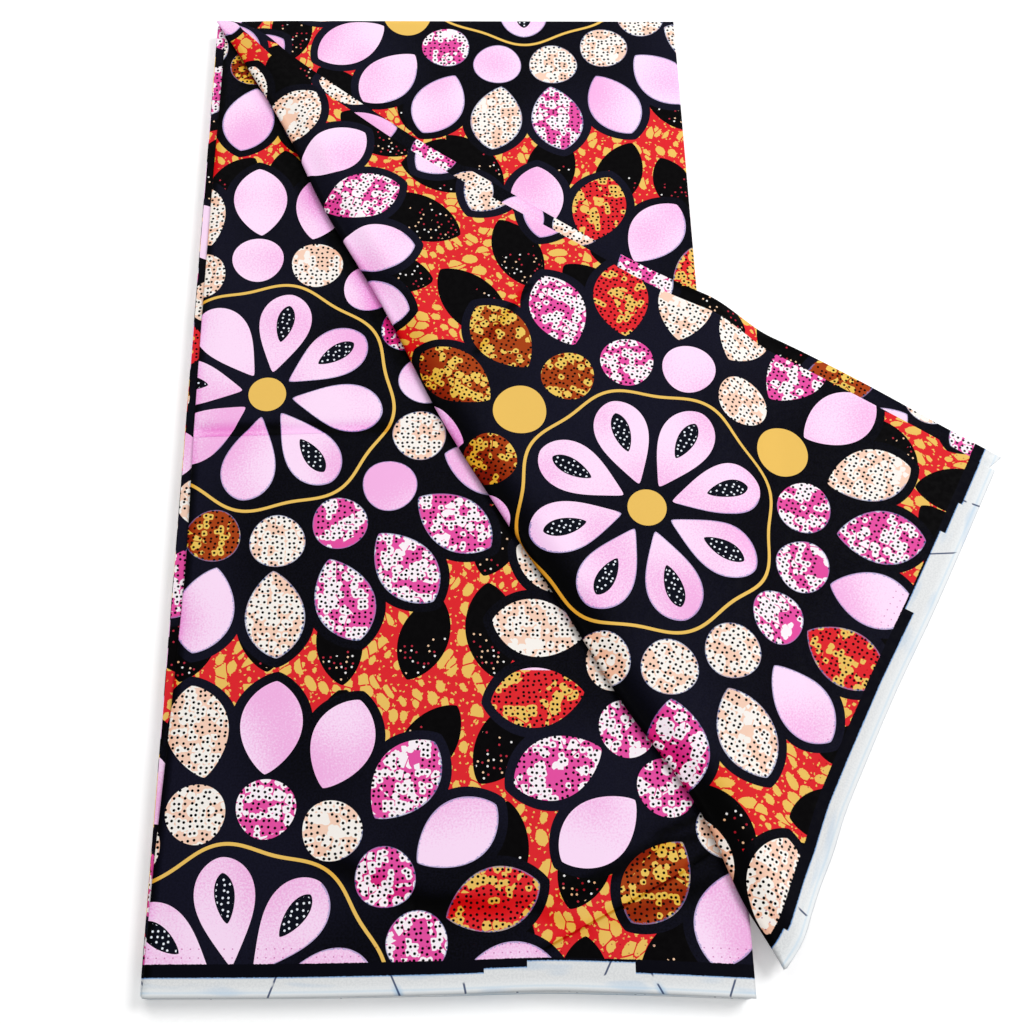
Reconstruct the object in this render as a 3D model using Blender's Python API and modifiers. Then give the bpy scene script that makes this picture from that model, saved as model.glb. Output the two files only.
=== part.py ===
"""Folded length of wax-print cotton, for Blender 4.5. Metres, +Z up.

The cloth is folded in half across its width and then to and fro in panels, so a flat strip
of layers lies on the table. The topmost panel is turned back over a diagonal fold, and its
free half fans out past the strip's right side and settles on the table.

X runs across the strip, Y along it (+Y is the end with the folded middle of the cloth, -Y
the end with the selvedges), and the origin is under the middle of the whole outline.
"""
import math

import bmesh
import bpy

# Strip of folded panels
STRIP_WIDTH = 0.290
STRIP_LENGTH = 0.584
STRIP_X = -0.0828            # middle of the strip, so that the whole outline is centred on X = 0
STACK_HEIGHT = 0.0105        # hidden panels, pressed flat
PANEL_WALL = 0.0012          # second panel: two thicknesses of cloth and the air between
SHEET_WALL = 0.0011          # turned sheets
SEAM_GAP = 0.0003            # clearance between pieces that lie on each other
SHEET_PITCH = 0.0015         # from the middle of one turned layer to the middle of the next

# Diagonal fold
FOLD_ANGLE = math.radians(28.05)     # between the strip's long side and the fold
FOLD_LENGTH = 0.647
FOLD_START = 0.005                   # first section, a little in from the strip's corner
ROLL_REACH = 0.0030                  # middle of the over sheet to the centre of the roll
PUFF_SPREAD = 0.016                  # how far the soft roll stands proud of the flat cloth
SHORTEST_RUN = 0.0035                # least width of a layer at the fold's two ends
TUCK = 0.0012                        # last strip of the over sheet, at its edge
HIDDEN_TUCKS = (0.0003, 0.0006)      # along the selvedge the under sheet ends inside that strip

# Corners of the turned flap, along the fold and out from it
UNDER_CORNER = (0.478, 0.2620)
OVER_CORNER = (0.483, 0.2524)

# Fall from the strip to the table
FALL_START = 0.004           # past the strip's side
FALL_WIDTH = 0.040
TABLE_CLEARANCE = 0.0001     # keeps the wall of the settled flap above the table
SIDE_SHARES = (0.12, 0.75)   # the strip's side lies within these shares of a turned layer's width
LEAST_FALL_SHARE = 0.15
GREATEST_FOOT_SHARE = 0.93

# Soft trough across the second panel, where the strip was once folded in half
TROUGH_Y = 0.004
TROUGH_HALF_WIDTH = 0.007
TROUGH_ROWS = (-2.0, -0.8, 0.0, 0.8, 2.0)    # mesh rows across it, in half widths
TROUGH_FADE = (-0.110, -0.020)       # X, from the strip's middle, where the trough dies away

# Loose second panel
PANEL_PUFF = 0.0011          # how far it stands off the stack
PUFF_MARGIN = 0.010          # it lies flat this near to the fold
PUFF_RAMP = 0.045
PUFF_RIM = 0.018             # and it comes down to the stack over this width at its edges
EDGE_STRIP = 0.004           # first strip of its mesh, along the folded left side
FRONT_REACH = 0.080          # how far in from the selvedge end its uneven edge is felt

# Mesh steps
SECTION_STEP = 0.0205
PANEL_STEP = 0.025
LEVEL_COLUMNS = 6            # turned layer on the strip
FALL_COLUMNS = 5             # down to the table
TABLE_COLUMNS = 4            # on the table
LOWER_COLUMNS = 5
ROLL_STEPS = 7
SIDE_STEPS = 14
END_STEPS = 8
CORNER_STEPS = 3
CORNER_RADIUS = 0.0035

# Layered sides of the stack
GROOVE_DEPTH = 0.0009
FULL_BAND = (0.27, 0.73)     # shares of a row's height between which it stands full
EDGE_WAVE = 0.0005
WAVE_TURNS = 7.0             # radians of wander along one side
WAVE_SHIFT = 2.1             # and its shift from one row to the next
FOLD_ROWS = (
    # left, right, back, front: how far this row of folds lies in from the strip's outline
    (0.0012, 0.0020, 0.0008, 0.0016),
    (0.0004, 0.0009, 0.0017, 0.0006),
    (0.0018, 0.0003, 0.0006, 0.0021),
    (0.0007, 0.0014, 0.0012, 0.0010),
    (0.0015, 0.0006, 0.0019, 0.0004),
    (0.0003, 0.0017, 0.0009, 0.0014),
    (0.0001, 0.0010, 0.0014, 0.0008),
)

# Left side of the second panel: Y from the strip's middle, and how far in it lies
LEFT_INSET = (
    # y, inset
    (-0.292, 0.0016),
    (-0.250, 0.0020),
    (-0.150, 0.0050),
    (-0.075, 0.0066),
    (0.000, 0.0055),
    (0.115, 0.0050),
    (0.292, 0.0062),
)

# Selvedge end of the second panel: X from the strip's middle, and how far in it lies
FRONT_INSET = (
    # x, inset
    (-0.145, 0.0000),
    (-0.070, 0.0004),
    (0.000, 0.0019),
    (0.050, 0.0035),
    (0.085, 0.0026),
    (0.145, 0.0000),
)

# Course of the diagonal fold: distance along it, wander out from the straight line, puff
FOLD_COURSE = (
    # along, wander, puff
    (0.000, 0.0000, 0.0002),
    (0.110, 0.0005, 0.0010),
    (0.150, -0.0030, 0.0020),
    (0.240, -0.0035, 0.0012),
    (0.320, -0.0075, 0.0017),
    (0.385, -0.0057, 0.0012),
    (0.450, -0.0030, 0.0016),
    (0.500, -0.0020, 0.0012),
    (0.565, 0.0035, 0.0026),
    (0.618, -0.0015, 0.0012),
    (0.647, 0.0000, 0.0003),
)

# Outline of the turned flap: distance along the fold, how far out the over sheet reaches, and
# how much further the under sheet shows
FLAP_TOP_EDGE = (
    # along, under sheet beyond, over sheet
    (0.000, 0.0005, 0.0045),
    (0.020, 0.0075, 0.0115),
    (0.050, 0.0109, 0.0191),
    (0.100, 0.0105, 0.0402),
    (0.150, 0.0114, 0.0617),
    (0.200, 0.0117, 0.0868),
    (0.250, 0.0101, 0.1145),
    (0.300, 0.0125, 0.1410),
    (0.350, 0.0125, 0.1765),
    (0.400, 0.0126, 0.2067),
    (0.450, 0.0117, 0.2348),
    (UNDER_CORNER[0], 0.0122, 0.2498),
    (OVER_CORNER[0], 0.0122, OVER_CORNER[1]),
)
FLAP_SELVEDGE = (
    # along, over sheet
    (OVER_CORNER[0], OVER_CORNER[1]),
    (0.510, 0.2110),
    (0.535, 0.1720),
    (0.560, 0.1310),
    (0.585, 0.0910),
    (0.610, 0.0550),
    (0.630, 0.0300),
    (0.647, 0.0070),
)

# Colours and finishes
SHARP_ANGLE = math.radians(40)
LOOKS = {
    # name: (red, green, blue, roughness)
    "folded_stack": (0.045, 0.042, 0.060, 0.82),
    "second_panel": (0.090, 0.060, 0.085, 0.80),
    "under_sheet": (0.640, 0.110, 0.050, 0.80),
    "over_sheet": (0.780, 0.480, 0.700, 0.78),
}

# Worked out from the sizes above
HALF_WIDTH = STRIP_WIDTH / 2
HALF_LENGTH = STRIP_LENGTH / 2
PANEL_MIDDLE = STACK_HEIGHT + SEAM_GAP + PANEL_WALL / 2
LOWEST_SHEET = PANEL_MIDDLE + PANEL_WALL / 2 + SEAM_GAP + SHEET_WALL / 2
UNDER_TOP = LOWEST_SHEET + 2 * SHEET_PITCH       # the under sheet's turned layer, on the strip
FLOOR_LEVEL = SHEET_WALL / 2 + TABLE_CLEARANCE   # the same layer, on the table
ALONG_FOLD = (math.sin(FOLD_ANGLE), -math.cos(FOLD_ANGLE))
OUT_FROM_FOLD = (math.cos(FOLD_ANGLE), math.sin(FOLD_ANGLE))
CORNER_SECTION = STRIP_WIDTH * math.sin(FOLD_ANGLE)      # section that meets the strip's corner
SIDE_SECTION = STRIP_WIDTH / math.sin(FOLD_ANGLE)        # section where the fold leaves the strip


def smooth(x):
    """Soft step from 0 to 1 as x goes from 0 to 1."""
    x = min(max(x, 0.0), 1.0)
    return x * x * (3 - 2 * x)


def straight(table, key, column):
    """Value of a table's column at key, on straight lines between its rows."""
    for low, high in zip(table, table[1:]):
        if key <= high[0]:
            share = max(0.0, (key - low[0]) / (high[0] - low[0]))
            return low[column] + (high[column] - low[column]) * share
    return table[-1][column]


def eased(table, key, column):
    """The same, with soft steps between the rows."""
    for low, high in zip(table, table[1:]):
        if key <= high[0]:
            share = smooth((key - low[0]) / (high[0] - low[0]))
            return low[column] + (high[column] - low[column]) * share
    return table[-1][column]


def stations(stops, step):
    """Places from the first stop to the last, through every stop, no more than a step apart."""
    places = [stops[0]]
    for start, end in zip(stops, stops[1:]):
        count = max(1, math.ceil(abs(end - start) / step - 1e-6))
        places += [start + (end - start) * i / count for i in range(1, count + 1)]
    return places


def from_fold(along, out):
    """X and Y, from the strip's middle, of a place given along the fold and out from it."""
    x = -HALF_WIDTH + ALONG_FOLD[0] * along + OUT_FROM_FOLD[0] * out
    y = HALF_LENGTH + ALONG_FOLD[1] * along + OUT_FROM_FOLD[1] * out
    return x, y


def to_fold(x, y):
    """Distance along the fold and out from it, of a place given from the strip's middle."""
    dx, dy = x + HALF_WIDTH, y - HALF_LENGTH
    return dx * ALONG_FOLD[0] + dy * ALONG_FOLD[1], dx * OUT_FROM_FOLD[0] + dy * OUT_FROM_FOLD[1]


def turned_layer_height(x):
    """Height of the under sheet's turned layer: level on the strip, then down to the table."""
    fall = smooth((x - HALF_WIDTH - FALL_START) / FALL_WIDTH)
    return UNDER_TOP + (FLOOR_LEVEL - UNDER_TOP) * fall


def object_from(name, bm, collection):
    """Turn a bmesh into the named object, with its own material."""
    mesh = bpy.data.meshes.new(name)
    bm.to_mesh(mesh)
    bm.free()
    red, green, blue, roughness = LOOKS[name]
    material = bpy.data.materials.new(name)
    material.use_nodes = True
    shader = material.node_tree.nodes["Principled BSDF"]
    shader.inputs["Base Color"].default_value = (red, green, blue, 1.0)
    shader.inputs["Roughness"].default_value = roughness
    shader.inputs["Metallic"].default_value = 0.0
    mesh.materials.append(material)
    mesh.shade_smooth()
    mesh.set_sharp_from_angle(angle=SHARP_ANGLE)
    obj = bpy.data.objects.new(name, mesh)
    obj.location = (STRIP_X, 0.0, 0.0)
    collection.objects.link(obj)
    return obj


def sheet(name, rows, wall, collection):
    """Cloth of an even wall through rows of points, made as an open surface with Solidify."""
    bm = bmesh.new()
    lines = [[bm.verts.new(point) for point in row] for row in rows]
    for near, far in zip(lines, lines[1:]):
        for i in range(len(near) - 1):
            bm.faces.new((near[i], near[i + 1], far[i + 1], far[i]))
    bmesh.ops.triangulate(bm, faces=bm.faces[:], quad_method="FIXED")
    bmesh.ops.recalc_face_normals(bm, faces=bm.faces[:])
    obj = object_from(name, bm, collection)
    solidify = obj.modifiers.new("Wall", "SOLIDIFY")
    solidify.thickness = wall
    solidify.offset = 0.0
    solidify.use_even_offset = True
    return obj


def stack_outline(inset, row, height):
    """One ring of the stack: a rounded rectangle whose sides wander a little."""
    left, right, back, front = (value + inset for value in FOLD_ROWS[row])
    radius = CORNER_RADIUS
    west, east = -HALF_WIDTH + left, HALF_WIDTH - right
    south, north = -HALF_LENGTH + front, HALF_LENGTH - back
    corners = (
        # centre x, centre y, first angle, steps along the side that follows, its direction
        (east - radius, south + radius, -90, SIDE_STEPS, (0, 1), north - south - 2 * radius),
        (east - radius, north - radius, 0, END_STEPS, (-1, 0), east - west - 2 * radius),
        (west + radius, north - radius, 90, SIDE_STEPS, (0, -1), north - south - 2 * radius),
        (west + radius, south + radius, 180, END_STEPS, (1, 0), east - west - 2 * radius),
    )
    ring = []
    for cx, cy, first, steps, (dx, dy), length in corners:
        for i in range(CORNER_STEPS + 1):
            angle = math.radians(first + 90 * i / CORNER_STEPS)
            x, y = cx + radius * math.cos(angle), cy + radius * math.sin(angle)
            ring.append((x, y, height))
        for i in range(1, steps):
            share = i / steps
            wander = math.sin(WAVE_TURNS * share + WAVE_SHIFT * row + first)
            wave = EDGE_WAVE * math.sin(math.pi * share) * wander
            run = length * share
            ring.append((x + dx * run - dy * wave, y + dy * run + dx * wave, height))
    return ring


def folded_stack(collection):
    """The hidden panels: one rounded solid, its sides showing the rows of folds."""
    pitch = STACK_HEIGHT / len(FOLD_ROWS)
    rings = [stack_outline(GROOVE_DEPTH, 0, 0.0)]
    for row in range(len(FOLD_ROWS)):
        base = row * pitch
        if row:
            rings.append(stack_outline(GROOVE_DEPTH, row, base))
        for share in FULL_BAND:
            rings.append(stack_outline(0.0, row, base + share * pitch))
    rings.append(stack_outline(GROOVE_DEPTH, len(FOLD_ROWS) - 1, STACK_HEIGHT))
    bm = bmesh.new()
    loops = [[bm.verts.new(point) for point in ring] for ring in rings]
    for low, high in zip(loops, loops[1:]):
        for i in range(len(low)):
            j = (i + 1) % len(low)
            bm.faces.new((low[i], low[j], high[j], high[i]))
    bm.faces.new(list(reversed(loops[0])))
    bm.faces.new(loops[-1])
    return object_from("folded_stack", bm, collection)


def panel_relief(x, y):
    """How far the loose second panel stands off the stack."""
    along, out = to_fold(x, y)
    away = eased(FOLD_COURSE, along, 1) - PUFF_MARGIN - out
    puff = PANEL_PUFF * smooth(away / PUFF_RAMP)
    fade_start, fade_end = TROUGH_FADE
    depth = 1 - smooth((x - fade_start) / (fade_end - fade_start))
    trough = math.exp(-((y - TROUGH_Y) / TROUGH_HALF_WIDTH) ** 2)
    rim = smooth((x + HALF_WIDTH) / PUFF_RIM) * smooth((HALF_LENGTH - abs(y)) / PUFF_RIM)
    return puff * rim * (1 - depth * trough)


def second_panel(collection):
    """The panel left of the diagonal fold; the rest of it is hidden under the turned sheets."""
    trough_rows = [TROUGH_Y + k * TROUGH_HALF_WIDTH for k in TROUGH_ROWS]
    rows = []
    for y in stations([-HALF_LENGTH] + trough_rows + [HALF_LENGTH], PANEL_STEP):
        left = -HALF_WIDTH + eased(LEFT_INSET, y, 1)
        near_front = smooth((FRONT_REACH - HALF_LENGTH - y) / FRONT_REACH)
        row = []
        for x in stations([left, left + EDGE_STRIP, HALF_WIDTH], PANEL_STEP):
            front = eased(FRONT_INSET, x, 1) * near_front
            row.append((x, y + front, PANEL_MIDDLE + panel_relief(x, y)))
        rows.append(row)
    return sheet("second_panel", rows, PANEL_WALL, collection)


def turned_columns(along, centre, common):
    """Places across the turned layer, closer together where it falls to the table."""
    span = common - centre
    side = (STRIP_WIDTH + FALL_START - ALONG_FOLD[0] * along) / OUT_FROM_FOLD[0]
    side = min(max(side, centre + SIDE_SHARES[0] * span), centre + SIDE_SHARES[1] * span)
    foot = side + max(FALL_WIDTH / OUT_FROM_FOLD[0], LEAST_FALL_SHARE * span)
    foot = min(foot, centre + GREATEST_FOOT_SHARE * span)
    columns = []
    for start, end, count in (
        (centre, side, LEVEL_COLUMNS),
        (side, foot, FALL_COLUMNS),
        (foot, common, TABLE_COLUMNS),
    ):
        columns += [start + (end - start) * i / count for i in range(count)]
    return columns


def fold_section(along, layer, edges):
    """One section across the fold, from the lower layer's end round the roll to the flap's edge.

    layer is 1 for the over sheet, which is outermost in the roll, and 0 for the under sheet.
    edges are the last places along the turned layer, from inside out.
    """
    wander = eased(FOLD_COURSE, along, 1)
    puff = eased(FOLD_COURSE, along, 2)
    centre = wander + SHEET_WALL / 2 + ROLL_REACH
    reach = ROLL_REACH - (1 - layer) * SHEET_PITCH
    to_back = along / math.tan(FOLD_ANGLE)
    to_side = (STRIP_WIDTH - ALONG_FOLD[0] * along) / OUT_FROM_FOLD[0]
    lower_end = max(min(to_back, to_side), centre + SHORTEST_RUN)

    def height(x, lift, out):
        swell = math.exp(-((out - centre) / PUFF_SPREAD) ** 2)
        return turned_layer_height(x) + lift * SHEET_PITCH + (puff * swell if lift >= 0 else 0.0)

    points = []
    for i in range(LOWER_COLUMNS + 1):
        out = lower_end + (centre - lower_end) * i / LOWER_COLUMNS
        x, y = from_fold(along, out)
        points.append((x, y, height(x, -1 - layer, out)))
    x, y = from_fold(along, centre)
    low, high = height(x, -1 - layer, centre), height(x, layer, centre)
    for i in range(1, ROLL_STEPS):
        angle = math.pi * i / ROLL_STEPS
        x, y = from_fold(along, centre - reach * math.sin(angle))
        points.append((x, y, (low + high) / 2 - (high - low) / 2 * math.cos(angle)))
    for out in turned_columns(along, centre, edges[0]) + edges:
        x, y = from_fold(along, out)
        points.append((x, y, height(x, layer, out)))
    return points


def turned_sheets(collection):
    """The two layers of the topmost panel, turned back together over the diagonal fold."""
    stops = [FOLD_START, CORNER_SECTION, UNDER_CORNER[0], OVER_CORNER[0], SIDE_SECTION, FOLD_LENGTH]
    under_rows, over_rows = [], []
    for along in stations(stops, SECTION_STEP):
        centre = eased(FOLD_COURSE, along, 1) + SHEET_WALL / 2 + ROLL_REACH
        if along <= OVER_CORNER[0]:
            over_edge = straight(FLAP_TOP_EDGE, along, 2)
        else:
            over_edge = straight(FLAP_SELVEDGE, along, 1)
        over_edge = max(over_edge, centre + SHORTEST_RUN)
        common = over_edge - TUCK
        if along <= UNDER_CORNER[0]:
            under_edges = [common, over_edge, over_edge + straight(FLAP_TOP_EDGE, along, 1)]
        else:
            under_edges = [common] + [common + tuck for tuck in HIDDEN_TUCKS]
        under_rows.append(fold_section(along, 0, under_edges))
        over_rows.append(fold_section(along, 1, [common, over_edge]))
    sheet("under_sheet", under_rows, SHEET_WALL, collection)
    sheet("over_sheet", over_rows, SHEET_WALL, collection)


def main():
    for obj in list(bpy.data.objects):
        bpy.data.objects.remove(obj, do_unlink=True)
    collection = bpy.data.collections.new("folded_wax_print_cloth")
    bpy.context.scene.collection.children.link(collection)
    folded_stack(collection)
    second_panel(collection)
    turned_sheets(collection)


main()
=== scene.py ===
"""Looks of the folded wax-print cotton cloth, for Blender 4.5. Metres, +Z up.

Each stretch of cloth that shows is a thin shell on the form of its solid: the folded stack with
the edges of its layers, the loose second panel, and the two layers of the topmost panel, turned
back together over a diagonal fold. The print is a node pattern in the cloth's own coordinates.
"""
import math
from collections import namedtuple

import bpy
import numpy as np
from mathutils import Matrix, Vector


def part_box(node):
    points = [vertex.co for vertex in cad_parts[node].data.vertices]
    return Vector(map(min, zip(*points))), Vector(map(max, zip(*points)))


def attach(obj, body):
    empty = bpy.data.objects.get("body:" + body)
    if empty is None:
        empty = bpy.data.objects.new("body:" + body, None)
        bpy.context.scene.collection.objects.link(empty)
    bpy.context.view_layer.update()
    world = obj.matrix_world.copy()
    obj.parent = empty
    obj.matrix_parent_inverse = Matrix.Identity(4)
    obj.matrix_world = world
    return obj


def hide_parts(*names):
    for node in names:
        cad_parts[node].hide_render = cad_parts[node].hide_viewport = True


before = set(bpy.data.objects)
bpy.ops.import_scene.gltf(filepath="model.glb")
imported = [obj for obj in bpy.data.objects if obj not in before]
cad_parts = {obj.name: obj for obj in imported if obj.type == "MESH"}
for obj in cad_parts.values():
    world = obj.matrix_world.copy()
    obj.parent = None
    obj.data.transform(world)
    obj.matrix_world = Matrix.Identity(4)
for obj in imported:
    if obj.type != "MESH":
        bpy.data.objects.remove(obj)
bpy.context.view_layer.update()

# Strip of folded panels; its middle is the origin of most sizes below
STRIP_WIDTH = 0.290
STRIP_LENGTH = 0.584
STRIP_X = -0.0828
HALF_WIDTH = STRIP_WIDTH / 2
HALF_LENGTH = STRIP_LENGTH / 2
STACK_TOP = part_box("folded_stack")[1].z
PANEL_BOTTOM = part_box("second_panel")[0].z
CLOTH = 0.0005  # one thickness of the cloth
PANEL_WALL = 0.0012  # second panel, two thicknesses and air
SHEET_WALL = 0.0011  # turned sheets, as the solids have them
SHEET_PITCH = 0.0015
SEAM_GAP = 0.0003
LEAST_GAP = 0.0001
PANEL_MIDDLE = PANEL_BOTTOM + PANEL_WALL / 2
LOWEST_SHEET = PANEL_MIDDLE + PANEL_WALL / 2 + SEAM_GAP + SHEET_WALL / 2
UNDER_TOP = LOWEST_SHEET + 2 * SHEET_PITCH
FLOOR_LEVEL = SHEET_WALL / 2 + LEAST_GAP
UNDER, OVER = 0, 1  # the two layers of the turned panel

# Diagonal fold
FOLD_ANGLE = math.radians(28.05)
FOLD_LENGTH = 0.647
FOLD_START = 0.0003
ROLL_REACH = 0.0030
PINCH = 0.002  # the roll would pinch out this far past the fold's ends
PINCH_REACH = (0.022, 0.014)  # and is full this far in from there, at the far and near end
LEAST_ROLL = 0.1
PUFF_CREST = 0.010  # the fold is pressed flat and swells a little way out from it
PUFF_SPREAD = 0.014
FOLD_PRESS = 0.62
PRESS_REACH = 0.014
CORNER_PRESS = 0.05
SHORTEST_RUN = 0.0035
ALONG_FOLD = (math.sin(FOLD_ANGLE), -math.cos(FOLD_ANGLE))
OUT_FROM_FOLD = (math.cos(FOLD_ANGLE), math.sin(FOLD_ANGLE))
CORNER_SECTION = STRIP_WIDTH * math.sin(FOLD_ANGLE)
SIDE_SECTION = STRIP_WIDTH / math.sin(FOLD_ANGLE)
UNDER_CORNER = (0.478, 0.2620)
OVER_CORNER = (0.483, 0.2524)
FALL_START = 0.004
FALL_WIDTH = 0.040
TABLE_SLACK = 0.0002  # creases dip this far at most where the flap lies on the table

FOLD_COURSE = (
    # along, wander, puff, how strong the painted shade is on the flap's side and on the panel's side
    (0.000, 0.0000, 0.0002, 0.10, 0.50),
    (0.110, 0.0005, 0.0010, 0.10, 0.60),
    (0.150, -0.0030, 0.0020, 0.10, 0.75),
    (0.240, -0.0035, 0.0012, 0.20, 0.75),
    (0.320, -0.0075, 0.0017, 0.90, 0.10),
    (0.385, -0.0057, 0.0012, 1.00, 0.00),
    (0.450, -0.0030, 0.0016, 0.80, 0.00),
    (0.500, -0.0020, 0.0012, 0.70, 0.05),
    (0.565, 0.0035, 0.0026, 1.00, 0.10),
    (0.618, -0.0015, 0.0012, 0.50, 0.10),
    (0.647, 0.0000, 0.0003, 0.20, 0.10),
)

# Outline of the turned flap
FLAP_TOP_EDGE = (
    # along, under sheet beyond, over sheet
    (0.000, 0.0003, 0.0010),
    (0.003, 0.0006, 0.0052),
    (0.020, 0.0075, 0.0115),
    (0.050, 0.0109, 0.0191),
    (0.100, 0.0105, 0.0402),
    (0.150, 0.0114, 0.0617),
    (0.200, 0.0117, 0.0868),
    (0.250, 0.0101, 0.1145),
    (0.300, 0.0125, 0.1410),
    (0.350, 0.0125, 0.1765),
    (0.400, 0.0126, 0.2067),
    (0.450, 0.0117, 0.2348),
    (UNDER_CORNER[0], 0.0122, 0.2498),
    (OVER_CORNER[0], 0.0122, OVER_CORNER[1]),
)
FLAP_SELVEDGE = (
    # along, over sheet
    (OVER_CORNER[0], OVER_CORNER[1]),
    (0.510, 0.2110),
    (0.535, 0.1720),
    (0.560, 0.1310),
    (0.585, 0.0930),
    (0.600, 0.0710),
    (0.6155, 0.0515),
    (0.625, 0.0375),
    (0.6326, 0.0270),
    (0.6392, 0.0180),
    (0.6434, 0.0100),
    (0.647, 0.0010),
)
SELVEDGE_RUN = Vector((FOLD_LENGTH - OVER_CORNER[0], FLAP_SELVEDGE[-1][1] - OVER_CORNER[1])).normalized()
SAG_REACH = 0.08  # the print follows the curved selvedge, less and less as far in as this
FLAP_RIM = 0.0012

# Edges of the second panel, in from the strip's outline
LEFT_INSET = (
    # y, inset
    (-0.292, 0.0016),
    (-0.250, 0.0020),
    (-0.150, 0.0050),
    (-0.075, 0.0066),
    (0.000, 0.0055),
    (0.115, 0.0050),
    (0.292, 0.0062),
)
FRONT_INSET = (
    # x, inset
    (-0.145, 0.0000),
    (-0.070, 0.0004),
    (0.000, 0.0019),
    (0.050, 0.0035),
    (0.085, 0.0026),
    (0.145, 0.0000),
)
FRONT_REACH = 0.080
SIDE_RADIUS = (PANEL_WALL - CLOTH) / 2  # of the panel's left fold
TUCK = 0.012
LOWER_LAYER_INSETS = (0.0210, 0.0007, 0.0006, 0.0010)  # left, right, front, back
LOWER_LAYER_CALM = 0.0004  # it stays flat under rises lower than this
PANEL_DIP = 0.0004  # dip of the right and far edges, there and on the turned sheets
SHEET_DIP = 0.0008
DIP_REACH = 0.0016

# Creases, as straight runs: height is up if positive; tint is how much painted shade darkens the print
# there
PANEL_SHARP_CREASES = (
    # start x, start y, end x, end y, reach of the tint to its side, tint
    (0.0440, -0.2734, 0.1169, -0.2324, -0.0017, 1.0),
    (0.1195, -0.2303, 0.1293, -0.2237, -0.0014, 0.6),
    (-0.1414, -0.0010, -0.0256, 0.0036, 0.0045, 0.7),
    (-0.0160, -0.2478, 0.0165, -0.2481, -0.0095, 0.6),
)
PANEL_CREASES = (
    # start x, start y, end x, end y, height, half width, tint
    (-0.1480, -0.0010, -0.1360, 0.0040, -0.0007, 0.0025, 0.5),
    (-0.1360, 0.0040, -0.0350, 0.0058, -0.0007, 0.0030, 0.7),
    (0.0430, -0.2740, 0.1175, -0.2320, 0.0007, 0.0022, 0.2),
    (0.0600, -0.2445, 0.1030, -0.2220, 0.0006, 0.0032, 0.5),
    (0.1060, -0.2150, 0.1210, -0.2090, 0.0004, 0.0016, 0.4),
    (0.1080, -0.2210, 0.1250, -0.2165, -0.0004, 0.0018, 0.3),
    (0.1190, -0.2305, 0.1300, -0.2235, 0.0004, 0.0014, 0.5),
    (0.0880, -0.2560, 0.1230, -0.2420, -0.0005, 0.0042, 0.3),
    (0.0350, -0.2500, 0.0600, -0.2620, -0.0005, 0.0040, 0.3),
    (-0.0500, -0.2330, -0.0120, -0.2505, -0.0007, 0.0055, 0.5),
    (-0.0120, -0.2505, 0.0200, -0.2515, -0.0007, 0.0045, 0.6),
)
FLAP_CREASES = (
    # start x, start y, end x, end y, height, half width, tint
    (0.0467, 0.0925, 0.0180, 0.0518, 0.0006, 0.0015, 0.6),
    (0.1270, 0.1010, 0.1420, 0.0915, 0.0004, 0.0018, 0.5),
)
CREASE_FADE = 2.5  # half widths over which a crease fades past its ends
PANEL_CREASE_RAMP = 0.012  # creases have their full height this far from the fold
FLAP_CREASE_RAMP = 0.010
FLAP_SWELL_RAMP = 0.030

# Soft swells that show on the sides as well as on top
PANEL_PUFF = 0.0011
PUFF_MARGIN = 0.010
PUFF_RAMP = 0.045
PUFF_RIM = 0.018
Wave = namedtuple("Wave", "across along start")
PANEL_SWELL = (0.00025, Wave(31, 17, 0.6), Wave(-9, 23, 0.0))
FLAP_SWELL = (0.00030, Wave(27, -21, 0.0), Wave(8, 19, 1.0))

# Painted shade and shadow beside the folds, as a darker tint of the print
BAND_REACH = 0.0085  # on the flap's side of the diagonal fold
BAND_FALL = 1.4
BAND_SHADE = (0.10, 0.72)  # where the fold's course says 0, and where it says 1
ROLL_SHADE = (0.40, 0.95)  # on the roll of the fold
ROLL_SHADE_TURN = (0.30 * math.pi, 0.80 * math.pi)
ROLL_SHADE_FALL = 0.7
PANEL_SHADE = 0.011  # reach on the panel below the fold
SIDE_SHADE = 0.55  # along the panel's left fold
SIDE_SHADE_REACH = 0.004

# Stack: layers of cloth, each panel being double
STACK_LAYERS = 34
STACK_SEED = 7
CORNER_RADIUS = 0.0015
Side = namedtuple("Side", "layers round wander groove")
STACK_SIDES = (
    # layers in each fold, depth of its round, how unevenly the folds lie, groove between layers
    Side(4, 0.00075, 0.00090, 0.00035),  # left
    Side(4, 0.00075, 0.00090, 0.00035),  # right
    Side(2, 0.00055, 0.00080, 0.00035),  # back
    Side(1, 0.00025, 0.00100, 0.0),  # front, with single selvedges
)
STACK_BOW = (0.70, 0.95)  # share of the front edge's bow at the bottom and at the top

# Meshes
FINE = 0.0024
COARSE = 0.0080
ROLL_STEPS = 26
SIDE_FOLD_STEPS = 8
CORNER_STEPS = 4
LONG_SIDE_STEPS = 78
SHORT_SIDE_STEPS = 40
LAYER_PARTS = (0.0, 0.25, 0.5, 0.75, 1.0)
SHARP_ANGLE = math.radians(50)
PANEL_ROW_STOPS = (-HALF_LENGTH, -HALF_LENGTH + 0.004, HALF_LENGTH - 0.003, HALF_LENGTH)
PANEL_RUN_STOPS = (0.0, 0.006, STRIP_WIDTH - 0.002, STRIP_WIDTH)
RUN_POINTS = ((60, 80), (24, 110))  # in the lower and the turned run of the under and over sheet
RIM_POINTS = (0.0003, 0.0008, 0.0016)  # a lower run's second to fourth points, in from its end
RIM_RUN = 0.006  # on a shorter run they lie closer
TURNED_CROWDING = 1.15  # over 1, a turned run's points crowd towards the roll

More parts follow.
